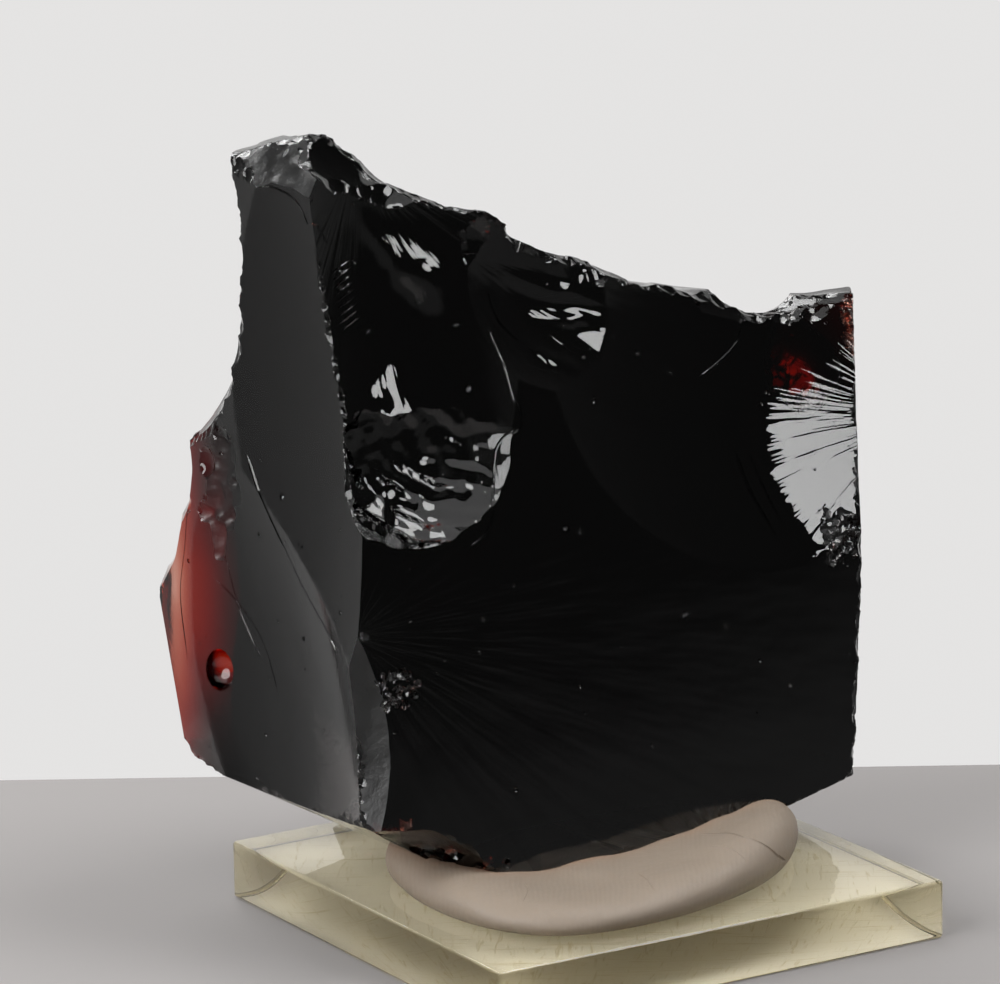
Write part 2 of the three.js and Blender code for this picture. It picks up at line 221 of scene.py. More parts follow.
# Damage along edges near a line: how near, how many shell-shaped flakes and how far they reach in,
# and how many crumbs and their size. Only edges turned by more than this angle are worn.
SHARP = math.radians(38)
WORN_EDGES = {
    "crest_left": dict(
        line=((-23.9, -2, 77.2), (-18.2, 1.2, 74.2), (-13, 1.4, 71.5), (-5.3, 5.2, 65.8), (2.5, 9.3, 62.1)),
        within=3.4, flakes=120, reach=0.95, chips=190, size=0.38,
    ),
    "crest_right": dict(
        line=((2.5, 9.3, 62.1), (10.6, 17, 58.8), (16.9, 21.5, 56.6), (22, 24, 57)), within=3.6, flakes=60,
        reach=0.9, chips=70, size=0.34,
    ),
    "right_corner": dict(
        line=((22, 24, 57), (27.8, 25.6, 56.2), (28.1, 25.6, 53)), within=3, flakes=24, reach=0.4, chips=60,
        size=0.26,
    ),
    "main_arris": dict(
        line=(
            (-22.7, -3.5, 72), (-23, -5.9, 64), (-21.8, -11.1, 51.5), (-23.6, -12.6, 31.2),
            (-20.5, -17, 14),
        ),
        within=3.4, flakes=100, reach=0.55, chips=260, size=0.26,
    ),
    "fin_rim": dict(
        line=(
            (-38, 11.5, 45.2), (-38.6, 12.3, 37.9), (-41.5, 16.1, 29.7), (-40.8, 15.1, 22), (-38, 11, 12.5),
        ),
        within=3.4, flakes=30, reach=0.45, chips=130, size=0.26,
    ),
    "neck": dict(
        line=((-32.2, 3.3, 75.9), (-32.1, 2.4, 58.3), (-32.8, 2.9, 52.2), (-37.1, 10.2, 46)), within=3,
        flakes=50, reach=0.8, chips=120, size=0.3,
    ),
    "cap": dict(
        line=((-32.2, 3.3, 75.9), (-27.2, -1, 78.4), (-23.9, -1.4, 77.3)), within=3.5, flakes=24, reach=0.5,
        chips=90, size=0.35,
    ),
    "right_rim": dict(
        line=((28, 20, 50), (28, 17.1, 35.6), (27.3, 14.6, 28), (26.1, 11, 10)), within=3, flakes=60,
        reach=0.6, chips=150, size=0.3,
    ),
    "front_foot": dict(
        line=((-12, -15.5, 9), (-3, -11, 8), (10, -3, 8.6), (24, 7, 10)), within=3, flakes=60, reach=0.4,
        chips=160, size=0.22,
    ),
    "foot": dict(
        line=((-38, 10.2, 13.7), (-26, -7, 13), (-18, -16, 12), (-8.1, -13, 8.5), (26, 10, 11)), within=4,
        flakes=40, reach=0.45, chips=150, size=0.3,
    ),
}

PINHOLES = {"count": 240, "size": 0.17}

# The balls that bite: how fine they are, their stretch and lumpiness, and the finish that they leave.
FLAKE = {"fineness": 3, "stretch": (1, 1, 1), "lumpy": 0, "finish": (0.3, 0.04)}
CRUMB = {"fineness": 1, "floored": True, "stretch": (1.4, 1, 0.7), "lumpy": 0.05, "finish": (0.3, 0.14)}
PINHOLE = {"fineness": 2, "stretch": (1.4, 1, 0.9), "lumpy": 0.03, "finish": (0, 0.04)}

# Fine lines on the breaks: their half width and the points that they run through.
SCORES = {
    "ridge": (
        0.27,
        (
            (-32.2, 1.8, 47), (-31.1, 0.3, 43.9), (-29.8, -1.1, 41), (-28.5, -2.7, 38.4), (-27, -4.9, 35.7),
            (-25.3, -8.2, 33.4), (-23.6, -12.6, 31.2),
        ),
    ),
    "left_crease": (0.09, ((-35.8, 9, 32.6), (-33.8, 6.6, 31.1), (-31.2, 3.2, 27.9), (-29.5, 0.2, 22.6))),
    "left_vein": (0.09, ((-35.1, 7.9, 36.4), (-33.4, 6.2, 30.2), (-31.3, 3.2, 25.9))),
    "fin_crease": (0.13, ((-38.3, 12, 45.2), (-38.9, 12.8, 36), (-39.6, 14, 30), (-39, 12.6, 23.5))),
    "bay_crack": (0.12, ((16.7, 18.8, 55), (15.9, 17.8, 53.6), (14.4, 16.2, 52.4), (12.6, 14.3, 51.4))),
    "bay_streak": (0.2, ((15.7, 13.3, 43.9), (17.1, 12.1, 40.1), (19.5, 10.9, 35.8))),
    "bay_thread": (0.12, ((16.8, 14.6, 43), (18.4, 13.4, 39.5), (20.4, 12, 36.2))),
    "bite_edge": (0.13, ((-8.5, 1.1, 63), (-7.4, 0.6, 60.3), (-5, 1.1, 57.7), (-1.6, 1.1, 54.9))),
    "scoop_edge": (
        0.14,
        (
            (-7.9, -1, 59.7), (-6.7, -2.7, 55.1), (-5.8, -3.7, 50.9), (-7.6, -5.1, 49.8),
            (-8.3, -6.2, 47.6), (-8.4, -7.3, 44.4), (-9, -8.4, 41.7), (-10.6, -9.6, 40.6),
        ),
    ),
    "brow_line": (0.15, ((-31.5, -1, 74.5), (-27.5, -5.5, 73.8), (-25, -6.5, 71.5), (-23.6, -6, 69.5))),
}
# A comb of short lines beside the main arris: the first line's ends, the step down, how many.
COMB = {"from": (-23.4, -6, 66.6), "to": (-21.4, -4.6, 67.6), "step": 0.72, "count": 9, "half_width": 0.13}

# The ways that the slabby floors of crushed glass tend to face.
SLABS = ((0.43, -0.78, 0.46), (0.28, -0.6, 0.75), (-0.38, -0.83, 0.43))

# Crushed patches: the middle, the way it faces, its half sizes, how many bites and their size, how far
# out of the surface their middles lie in parts of that size, and the share that has a slabby floor.
CRUSHED = {
    "pit": dict(
        at=(-18, -17.1, 28.4), facing=(0.54, -0.82, 0.17), spread=(3, 1.9), count=40, size=0.36,
        out=(0.1, 0.5), slabs=0.3,
    ),
    "toe_left": dict(
        at=(-17.8, -18.3, 15), facing=(0.2, -0.8, -0.55), spread=(2.4, 1), count=16, size=0.55,
        out=(-0.35, 0.1), slabs=0.8,
    ),
    "toe": dict(
        at=(-14.6, -13.6, 11.2), facing=(-0.15, -0.8, -0.5), spread=(3.2, 1.6), count=34, size=0.6,
        out=(-0.35, 0.1), slabs=0.8,
    ),
    "toe_right": dict(
        at=(-10.1, -14.3, 9.8), facing=(0.2, -0.9, -0.3), spread=(2.6, 0.8), count=14, size=0.5,
        out=(-0.35, 0.1), slabs=0.8,
    ),
    "right_bruise": dict(
        at=(26.5, 14.2, 34.2), facing=(0.5, -0.76, 0.4), spread=(2.4, 3.6), count=130, size=0.5,
        out=(0, 0.5), slabs=0.3,
    ),
    "right_edge": dict(
        at=(27.7, 25.1, 53.8), facing=(0.42, -0.88, 0.25), spread=(0.9, 3), count=50, size=0.34,
        out=(0, 0.5), slabs=0.4,
    ),
    "brow": dict(
        at=(-28.2, -3.6, 76.2), facing=(-0.66, -0.49, 0.57), spread=(4, 2), count=24, size=0.8,
        out=(0.2, 0.6), slabs=0,
    ),
}

BUBBLE = {"at": (-35.9, 8, 23.6), "radius": 2.1}

# ---- the tack ----
# Its outline and folds, its height and how much higher its ends stand, and the shares of its section:
# the belly's height, the rolled top edge and the tucked foot. gap is its clearance over the base, and the
# last is how far from the glass the painted shade on the tack fades.
TACK = {
    "middle": (0.5, -6),
    "outline": (
        (-19.1, -3), (-18, -10.5), (-14.4, -17.5), (-9.5, -22.6), (-3.5, -25.1), (3.2, -23.4), (11, -17.9),
        (18.4, -8.6), (21.2, 1.8), (17.6, 11), (8, 14), (-3, 12.5), (-13, 7.5),
    ),
    "creases": (
        (0.22, ((11, -3.5, 9.7), (13.8, -5.6, 9.8), (15.6, -7.9, 9.4), (17.2, -7.6, 8.4), (19, -5.4, 7.4))),
        (0.1, ((12.2, -9, 9.3), (13.8, -9.8, 9.1), (15.2, -11.4, 8.4))),
        (0.09, ((5, -14, 8.8), (6, -17, 8.7), (6.4, -19.4, 8.3))),
        (0.08, ((-6, -17, 8.8), (-5.6, -19.5, 8.6), (-5.9, -21.8, 8))),
    ),
    "half_length": 20,
    "height": 2.9,
    "end_rise": 3,
    "belly": 0.36,
    "round_over": 0.26,
    "tuck": 0.11,
    "gap": 0.02,
    "shade_reach": 0.9,
}


# ---- settings ----
def amount_of(name, description, default, least=0):
    """A number that isn't below the least."""
    return FloatProperty(name=name, description=description, default=default, min=least)


def length_of(name, description, default):
    """A length, given in millimetres."""
    return FloatProperty(name=name, description=description, default=default * MM, unit="LENGTH")


def colour_of(name, description, default):
    """A plain colour."""
    return FloatVectorProperty(
        name=name, description=description, default=default, subtype="COLOR", size=3, min=0, max=1
    )


class ChunkSettings(bpy.types.PropertyGroup):
    """Chips and glass of the chunk"""

    chips: amount_of("Damage", "How much of the edge damage is made, where one is all of it", 1)
    crisp_angle: FloatProperty(
        name="Crisp angle", description="Edges steeper than this stay sharp", default=math.radians(28),
        subtype="ANGLE",
    )
    ior: amount_of("IOR", "Refraction of the glass", 1.52, 1)
    density: amount_of("Density", "Absorption of the glass for each metre", 3800)
    tint: colour_of("Tint", "Colour that the glass lets through", (0.75, 0.22, 0.03))


class TackSettings(bpy.types.PropertyGroup):
    """Shape and colour of the lump of tack"""

    rings: IntProperty(
        name="Rings", description="Rings of faces from the middle to the edge", default=110, min=8
    )
    lumps: length_of("Lumps", "Height of the lumps left by the fingers", 0.22)
    colour: colour_of("Colour", "Colour of the tack", (0.195, 0.156, 0.12))
    # Painted shade: a browner colour that stands in for the shade where the tack meets the glass.
    painted_shade: colour_of("Painted_shade", "Colour of the tack where it meets the glass", (0.22, 0.14, 0.09))


class BaseSettings(bpy.types.PropertyGroup):
    """Edges and tint of the clear base"""

    arris: length_of("Arris", "Width of the polished arrises", 0.35)
    ior: amount_of("IOR", "Refraction of the acrylic", 1.49, 1)
    density: amount_of("Density", "Absorption of the acrylic for each metre", 18)
    tint: colour_of("Tint", "Colour that the acrylic lets through", (0.98, 0.85, 0.35))
    ground: colour_of("Ground", "Colour of the ground underside", (0.86, 0.81, 0.68))
    scratch: colour_of("Scratch", "Colour of the scratches in the underside", (0.7, 0.62, 0.42))


class StageSettings(bpy.types.PropertyGroup):
    """Floor, backdrop, lights and camera"""

    floor: colour_of("Floor", "Colour of the floor", (0.2, 0.19, 0.186))
    backdrop: amount_of("Backdrop", "Brightness of the backdrop", 0.78)
    gloom: amount_of("Gloom", "Light of the room from the right", 0.06)
    left_glow: amount_of("Left glow", "Light of the room from the left", 0.22)
    low_glow: amount_of("Low glow", "More light from below the horizon", 0.13)
    gap: length_of("Gap", "Level of the floor below the base", -0.05)
    top_light: amount_of("Top light", "Power of the overhead panel", 6)
    key_light: amount_of("Key light", "Power of the overhead soft box", 2.9)
    back_light: amount_of("Back light", "Power of the soft box behind", 4)
    fill_light: amount_of("Fill light", "Power of the front left soft box", 10)
    side_light: amount_of("Side light", "Power of the front right soft box", 1.6)
    lens: amount_of("Lens", "Focal length in millimetres", 234, 1)


# ---- modelling ----
def only(piece):
    """Select one piece alone and make it the active one."""
    bpy.ops.object.select_all(action="DESELECT")
    piece.select_set(True)
    bpy.context.view_layer.objects.active = piece


def open_up(piece):
    """Go into edit mode with all of one piece selected."""
    only(piece)
    bpy.ops.object.mode_set(mode="EDIT")
    bpy.ops.mesh.select_all(action="SELECT")


def close_up():
    """Turn every face outwards and leave edit mode."""
    bpy.ops.mesh.select_all(action="SELECT")
    bpy.ops.mesh.normals_make_consistent(inside=False)
    bpy.ops.object.mode_set(mode="OBJECT")


def named(piece, name):
    """Give a piece and its mesh the same name."""
    piece.name = name
    piece.data.name = name
    return piece


def added(name, data):
    """A new object in the scene."""
    piece = bpy.data.objects.new(name, data)
    bpy.context.collection.objects.link(piece)
    return piece


def cut_away(piece, cutter):
    """Take a cutter out of a piece, and delete the cutter."""
    only(piece)
    cut = piece.modifiers.new("cut", "BOOLEAN")
    cut.operation = "DIFFERENCE"
    cut.solver = "MANIFOLD"
    cut.object = cutter
    bpy.ops.object.modifier_apply(modifier=cut.name)
    bpy.data.objects.remove(cutter)
    if not piece.data.polygons:
        raise RuntimeError(f"nothing is left of {piece.name} after a cut")


def places(mesh):
    """The mesh's points as rows."""
    rows = np.empty(len(mesh.vertices) * 3)
    mesh.vertices.foreach_get("co", rows)
    return rows.reshape(-1, 3)


def put_places(mesh, rows):
    """Move the mesh's points to the given rows."""
    mesh.vertices.foreach_set("co", np.ascontiguousarray(rows, dtype=float).ravel())
    mesh.update()


def surface_of(mesh):
    """The mesh's surface as a tree, to look up its nearest point."""
    work = bmesh.new()
    work.from_mesh(mesh)
    surface = BVHTree.FromBMesh(work)
    work.free()
    return surface


def set_corner_map(mesh, name, first, second):
    """Write two numbers for each face corner into a new map."""
    pairs = np.empty((len(mesh.loops), 2))
    pairs[:, 0] = first
    pairs[:, 1] = second
    mesh.uv_layers.new(name=name).data.foreach_set("uv", pairs.ravel())


def one_finish(mesh, hackle, rough):
    """Give a mesh the glass's two maps and no others, with one finish all over."""
    for corner_map in list(mesh.uv_layers):
        mesh.uv_layers.remove(corner_map)
    set_corner_map(mesh, "scar", 0, 0)
    set_corner_map(mesh, "finish", hackle, rough)


def waves(x, y, seed):
    """Smooth noise between -1 and 1 over a plane."""
    column, row = np.floor(x), np.floor(y)
    fx, fy = x - column, y - row
    ease_x = fx**3 * (fx * (fx * 6 - 15) + 10)
    ease_y = fy**3 * (fy * (fy * 6 - 15) + 10)

    def corner(dx, dy):
        scrambled = np.sin((column + dx) * 127.1 + (row + dy) * 311.7 + seed * 74.7) * 43758.5453
        return scrambled - np.floor(scrambled)

    low = corner(0, 0) * (1 - ease_x) + corner(1, 0) * ease_x
    high = corner(0, 1) * (1 - ease_x) + corner(1, 1) * ease_x
    return 2 * (low * (1 - ease_y) + high * ease_y) - 1


def smooth_curve(knots, turns):
    """Points of a smooth curve from the second of the knots to the last but one, at counts of knots."""
    index = np.minimum(np.floor(turns).astype(int), len(knots) - 4)
    t = (turns - index)[:, None]
    p0, p1, p2, p3 = (knots[index + k] for k in range(4))
    curve = 2 * p1 + (p2 - p0) * t + (2 * p0 - 5 * p1 + 4 * p2 - p3) * t**2
    return 0.5 * (curve + (3 * p1 - p0 - 3 * p2 + p3) * t**3)


def break_axes(shape):
    """Two directions across a break, and the way it faces."""
    facing = np.array(shape["facing"], float)
    facing /= np.linalg.norm(facing)
    lead = np.array(shape.get("along", (0, 0, 1)), float)
    if abs(lead @ facing) > 0.9 * np.linalg.norm(lead):
        lead = np.array((1.0, 0, 0))
    across = np.cross(lead, facing)
    across /= np.linalg.norm(across)
    return across, np.cross(facing, across), facing


def bowl_height(shape, flat):
    """How high a break stands over its middle plane, at points of that plane."""
    facing = break_axes(shape)[2]
    radius = shape.get("radius")
    if radius is None:
        return np.zeros(len(flat))
    along = np.array(shape.get("along", (0, 0, 1)), float)
    along /= np.linalg.norm(along)
    squeeze = np.eye(3) - (1 - 1 / shape.get("stretch", 1)) * np.outer(along, along)
    ahead = squeeze @ facing
    start = flat @ squeeze.T - facing * radius
    a = ahead @ ahead
    b = start @ ahead
    spare = b * b - a * ((start * start).sum(1) - radius * radius)
    root = np.sqrt(np.maximum(spare, 0))
    outside = np.sqrt(np.maximum(-spare, 0))
    if radius < 0:
        return (-b + root) / a
    return (-b - root) / a + 3 * outside / a


def break_surface(shape, grid, seed):
    """A break's modelled height over its middle plane, and the turn and distance from the struck point."""
    across, rise, _ = break_axes(shape)
    at = np.array(shape["at"], float)

    def on_plane(way):
        return np.array((way @ across, way @ rise))

    height = bowl_height(shape, grid[:, :1] * across + grid[:, 1:2] * rise)
    tall, long = shape["swell"]
    x, y = grid[:, 0] / long, grid[:, 1] / long
    height = height + tall * (0.7 * waves(x, y, seed) + 0.3 * waves(2.3 * x, 2.3 * y, seed + 5))
    for spot, lead, long_side, wide_side, lift in shape.get("knuckles", ()):
        reach = grid - on_plane(np.array(spot, float) - at)
        way = on_plane(np.array(lead, float))
        way /= np.linalg.norm(way)
        along_it, over_it = reach @ way, reach @ np.array((-way[1], way[0]))
        wobble = 0.2 * wide_side * waves(along_it / long_side * 2, 0 * over_it, seed + 3)
        height = height + lift * np.exp(-(along_it / long_side) ** 2 - ((over_it - wobble) / wide_side) ** 2)
    struck = on_plane(np.array(shape.get("struck", shape["at"]), float) - at)
    away = grid - struck
    run = np.hypot(away[:, 0], away[:, 1])
    lead = math.atan2(-struck[1], -struck[0]) if np.linalg.norm(struck) > 1 else 0.0
    turn = (np.arctan2(away[:, 1], away[:, 0]) - lead + math.pi) % (2 * math.pi) - math.pi
    ring_tall, ring_long = shape.get("ripple", (0, 1))
    patchy = 0.6 + 0.5 * waves(turn * 3, run / 5, seed + 9)
    rings = np.sin(2 * math.pi * (run / ring_long + 0.15 * waves(turn * 2, run / 4, seed)))
    return height + ring_tall * patchy * rings, turn, run


def scar_cutter(name, shape, seed):
    """A block that lies beyond a break, with the break's fine surface as its underside."""
    half, step, depth = shape["half"], shape["step"], shape.get("deep", 90)
    wide, high = half if isinstance(half, tuple) else (half, half)
    columns, lines = int(2 * wide / step), int(2 * high / step)
    bpy.ops.mesh.primitive_grid_add(x_subdivisions=columns, y_subdivisions=lines, size=2)
    block = named(bpy.context.object, name)
    open_up(block)
    bpy.ops.transform.resize(value=(wide, high, 1))
    bpy.ops.mesh.extrude_region_move(TRANSFORM_OT_translate={"value": (0, 0, depth)})
    bpy.ops.mesh.dissolve_faces()
    bpy.ops.object.mode_set(mode="OBJECT")
    mesh = block.data
    rows = places(mesh)
    low = rows[:, 2] < depth / 2
    height, turn, run = break_surface(shape, rows[:, :2], seed)
    rows[low, 2] = np.minimum(height[low], 0.9 * depth)
    put_places(mesh, rows)
    corners = np.empty(len(mesh.loops), dtype=int)
    mesh.loops.foreach_get("vertex_index", corners)
    set_corner_map(mesh, "scar", turn[corners], run[corners] / 100)
    set_corner_map(mesh, "finish", shape.get("hackle", 0), shape.get("rough", 0.02))
    place = Matrix([(*row, 0) for row in np.column_stack(break_axes(shape))] + [(0, 0, 0, 1)])
    place.translation = Vector(shape["at"])
    mesh.transform(place)
    open_up(block)
    close_up()
    return block


def hewn_block():
    """The block cut back by the flat breaks."""
    bpy.ops.mesh.primitive_cube_add(size=1)
    block = named(bpy.context.object, "slag_glass")
    open_up(block)
    bpy.ops.transform.resize(value=BLANK["size"])
    bpy.ops.transform.translate(value=BLANK["middle"])
    for shape in FLAT_BREAKS.values():
        bpy.ops.mesh.select_all(action="SELECT")
        bpy.ops.mesh.bisect(
            plane_co=shape["at"], plane_no=shape["facing"], use_fill=True, clear_outer=True, threshold=0.0001
        )
    close_up()
    one_finish(block.data, 0, 0.05)
    return block


def round_ball(fineness, floored=False):
    """Points and faces of a round ball, turned so that its first face is its floor if it is floored."""
    bpy.ops.mesh.primitive_ico_sphere_add(subdivisions=fineness, radius=1)
    ball = bpy.context.object
    rows = places(ball.data)
    faces = np.array([tuple(face.vertices) for face in ball.data.polygons])
    bpy.data.objects.remove(ball)
    if floored:
        middle = Vector(rows[faces[0]].mean(axis=0).tolist())
        rows = rows @ np.array(middle.rotation_difference(Vector((0, 0, -1))).to_matrix()).T
    return rows, faces


def bite_all(chunk, bites, dice, kind):
    """Bite every ball out of the chunk, in batches whose balls keep clear of each other."""
    rows, faces = round_ball(kind["fineness"], kind.get("floored", False))
    stretch = np.array(kind["stretch"])
    batches = []
    for foot, facing, radius in bites:
        for batch in batches:
            if all((foot - other).length > 1.1 * stretch.max() * (radius + size) for other, _, size in batch):
                batch.append((foot, facing, radius))
                break
        else:
            batches.append([(foot, facing, radius)])
    for batch in batches:
        points, shells = [], []
        for foot, facing, radius in batch:
            lumpy = rows * (1 + kind["lumpy"] * dice.standard_normal((len(rows), 1)))
            turned = Matrix.Rotation(dice.uniform(0, 2 * math.pi), 3, "Z")
            aim = Vector((0, 0, 1)).rotation_difference(facing).to_matrix() @ turned
            shells.append(faces + len(points) * len(rows))
            points.append((lumpy * stretch * radius) @ np.array(aim).T + np.array(foot))
        mesh = bpy.data.meshes.new("bites")
        mesh.from_pydata(np.vstack(points).tolist(), [], np.vstack(shells).tolist())
        one_finish(mesh, *kind["finish"])
        cut_away(chunk, added("bites", mesh))


def distance_to_line(place, line):
    """How far a point lies from a line through several points."""
    gaps = []
    for start, end in zip(line, line[1:]):
        start, way = Vector(start), Vector(end) - Vector(start)
        share = min(1.0, max(0.0, (place - start).dot(way) / way.length_squared))
        gaps.append((place - start - way * share).length)
    return min(gaps)


def worn_spots(chunk, worn, count, dice):
    """The middles and facings of sharp outward edges near a line, drawn by their length."""
    work = bmesh.new()
    work.from_mesh(chunk.data)
    found, lengths = [], []
    for edge in work.edges:
        if len(edge.link_faces) != 2 or not edge.is_convex or edge.calc_face_angle(0) < SHARP:
            continue
        middle = (edge.verts[0].co + edge.verts[1].co) / 2
        if distance_to_line(middle, worn["line"]) < worn["within"]:
            facing = edge.link_faces[0].normal + edge.link_faces[1].normal
            found.append((middle, facing.normalized()))
            lengths.append(edge.calc_length())
    work.free()
    share = np.array(lengths)
    return [found[index] for index in dice.choice(len(found), size=count, p=share / share.sum())]


def varied(dice, spread, least, most):
    """A factor around 1, now and then a large one."""
    return float(np.clip(dice.lognormal(0, spread), least, most))


def flake_shells(chunk, worn, settings, dice):
    """Balls that flake shells off the edges near a line."""
    flakes = []
    for middle, facing in worn_spots(chunk, worn, int(worn["flakes"] * settings.chips), dice):
        reach = worn["reach"] * varied(dice, 0.4, 0.5, 1.9)
        radius = reach * float(dice.uniform(1.6, 3))
        lean = (facing + Vector(dice.uniform(-0.25, 0.25, 3).tolist())).normalized()
        flakes.append((middle + lean * (radius - 0.32 * reach), lean, radius))
    return flakes


def crumbled_bits(chunk, worn, settings, dice):
    """Small bites that crumble the edges near a line."""
    crumbs = []
    for middle, facing in worn_spots(chunk, worn, int(worn["chips"] * settings.chips), dice):
        radius = worn["size"] * varied(dice, 0.45, 0.4, 2.4)
        crumbs.append((middle + facing * radius * float(dice.uniform(0.2, 0.55)), facing, radius))
    return crumbs


def crushed_bites(patch, dice):
    """Bites crowded over a crushed patch."""
    facing = Vector(patch["facing"]).normalized()
    side = Vector((0, 0, 1)).cross(facing).normalized()
    rise = facing.cross(side)
    wide, high = patch["spread"]
    bites = []
    for _ in range(patch["count"]):
        out, turn = math.sqrt(dice.random()), dice.uniform(0, 2 * math.pi)
        radius = patch["size"] * float(dice.uniform(0.5, 1.5))
        foot = Vector(patch["at"]) + side * wide * out * math.cos(turn)
        foot += rise * high * out * math.sin(turn) + facing * radius * float(dice.uniform(*patch["out"]))
        slab = Vector(SLABS[int(dice.integers(len(SLABS)))])
        lean = Vector(dice.uniform(-1, 1, 3).tolist())
        aim = slab + 0.05 * lean if dice.random() < patch["slabs"] else facing + 0.8 * lean
        bites.append((foot, aim.normalized(), radius))
    return bites


def pinholes(chunk, dice):
    """Tiny open bubbles, spread evenly over the whole chunk."""
    faces = chunk.data.polygons
    area = np.array([face.area for face in faces])
    holes = []
    for index in dice.choice(len(faces), size=PINHOLES["count"], p=area / area.sum()):
        face = faces[int(index)]
        shares = dice.dirichlet(np.ones(len(face.vertices)))
        foot = sum((chunk.data.vertices[v].co * s for v, s in zip(face.vertices, shares.tolist())), Vector())
        holes.append((foot, face.normal.copy(), PINHOLES["size"] * varied(dice, 0.4, 0.5, 2)))
    return holes


def wear_down(chunk, settings, dice):
    """Flake and crumble the chunk's edges, crush its bruised patches and open its pinholes."""
    flakes = []
    for worn in WORN_EDGES.values():
        flakes += flake_shells(chunk, worn, settings, dice)
    bite_all(chunk, flakes, dice, FLAKE)
    crumbs = []
    for worn in WORN_EDGES.values():
        crumbs += crumbled_bits(chunk, worn, settings, dice)
    for patch in CRUSHED.values():
        crumbs += crushed_bites(patch, dice)
    bite_all(chunk, crumbs, dice, CRUMB)
    bite_all(chunk, pinholes(chunk, dice), dice, PINHOLE)


def groove_cutter(points, half_width, surface):
    """A thin closed tube laid half sunk along the surface."""
    knots = np.array(points, float)
    knots = np.vstack((2 * knots[0] - knots[1], knots, 2 * knots[-1] - knots[-2]))
    spans = len(points) - 1
    path = smooth_curve(knots, np.linspace(0, spans, 12 * spans + 1))
    last = len(path) - 1
    sides = 8
    work = bmesh.new()
    rings = []
    for index, place in enumerate(path):
        spot, normal, _, _ = surface.find_nearest(Vector(place))
        ahead = Vector(path[min(index + 1, last)] - path[max(index - 1, 0)]).normalized()
        side = ahead.cross(normal).normalized()
        taper = half_width * min(1.0, 0.25 + 0.2 * min(index, last - index))
        middle = spot + normal * taper * 0.3
        ring = []
        for corner in range(sides):
            turn = 2 * math.pi * corner / sides
            ring.append(work.verts.new(middle + (side * math.cos(turn) + normal * math.sin(turn)) * taper))
        rings.append(ring)
    for one, two in zip(rings, rings[1:]):
        for corner in range(sides):
            following = (corner + 1) % sides
            work.faces.new((one[corner], one[following], two[following], two[corner]))
    work.faces.new(rings[0])
    work.faces.new(rings[-1])
    bmesh.ops.recalc_face_normals(work, faces=work.faces)
    mesh = bpy.data.meshes.new("groove")
    work.to_mesh(mesh)
    work.free()
    one_finish(mesh, 0, 0.05)
    return added("groove", mesh)


def score_lines(chunk):
    """Cut the fine lines into the chunk."""
    lines = list(SCORES.values())
    for index in range(COMB["count"]):
        drop = Vector((0, 0, -COMB["step"] * index))
        first, last = Vector(COMB["from"]) + drop, Vector(COMB["to"]) + drop
        lines.append((COMB["half_width"], (first, first.lerp(last, 0.5), last)))
    surface = surface_of(chunk.data)
    for half_width, points in lines:
        cut_away(chunk, groove_cutter(points, half_width, surface))


def bubble_cutter():
    """A round ball for the open bubble."""
    bpy.ops.mesh.primitive_uv_sphere_add(
        segments=48, ring_count=32, radius=BUBBLE["radius"], location=BUBBLE["at"]
    )
    ball = named(bpy.context.object, "bubble")
    only(ball)
    bpy.ops.object.transform_apply(location=True, rotation=True, scale=True)
    one_finish(ball.data, 0, 0.02)
    return ball


# ---- materials ----
def fresh_material(name):
    """A material and its empty node tree."""
    material = bpy.data.materials.new(name)
    material.use_nodes = True
    material.node_tree.nodes.clear()
    return material, material.node_tree


def feed(tree, socket, value):
    """Link a socket to another node's output, or set it to a plain value."""
    if isinstance(value, bpy.types.NodeSocket):
        tree.links.new(value, socket)
    else:
        socket.default_value = value


def node(tree, kind, modes=None, **sockets):
    """A new node with its modes set and its sockets fed. An underscore stands for a space in a name."""
    made = tree.nodes.new(kind)
    for name, value in (modes or {}).items():
        setattr(made, name, value)
    for name, value in sockets.items():
        feed(tree, made.inputs[name.replace("_", " ")], value)
    return made


def own_place(tree):
    """The object's own coordinates."""
    return node(tree, "ShaderNodeTexCoord").outputs["Object"]


def own_map(tree, name):
    """One of the object's maps."""
    return node(tree, "ShaderNodeUVMap", {"uv_map": name}).outputs["UV"]


def noise(tree, source, scale, detail=3, rough=0.5, distortion=0):
    """A noise pattern over coordinates."""
    made = node(tree, "ShaderNodeTexNoise", Vector=source, Scale=scale, Detail=detail, Roughness=rough)
    made.inputs["Distortion"].default_value = distortion
    return made.outputs["Fac"]


def streaks(tree, source, scale, *finer):
    """A noise pattern stretched by a scale for each axis."""
    mapped = node(tree, "ShaderNodeMapping", Vector=source, Scale=scale)
    return noise(tree, mapped.outputs["Vector"], 1, *finer)


def joined(tree, operation, first, second):
    """Two numbers made into one by a sum, a product or another operation."""
    made = node(tree, "ShaderNodeMath", {"operation": operation})
    for socket, value in zip(made.inputs, (first, second)):
        feed(tree, socket, value)
    return made.outputs[0]


def total(tree, *parts):
    """The sum of several patterns."""
    result = parts[0]
    for part in parts[1:]:
        result = joined(tree, "ADD", result, part)
    return result


def times(tree, first, second):
    """The product of two patterns."""
    return joined(tree, "MULTIPLY", first, second)


def ramp(tree, source, before, after):
    """A number eased from one range into another."""
    sockets = dict(zip(("From_Min", "From_Max", "To_Min", "To_Max"), (*before, *after)))
    made = node(tree, "ShaderNodeMapRange", {"interpolation_type": "SMOOTHSTEP"}, Value=source, **sockets)
    return made.outputs["Result"]


def blend(tree, share, first, second):
    """One colour turned into another by a share."""
    sockets = {"Factor": share, "A": (*first, 1), "B": (*second, 1)}
    return node(tree, "ShaderNodeMix", {"data_type": "RGBA"}, **sockets).outputs["Result"]


def bump(tree, height, tall, strength):
    """The slopes of a height pattern, which is so tall in metres."""
    made = node(tree, "ShaderNodeBump", Height=height, Distance=tall, Strength=strength)
    return made.outputs["Normal"]


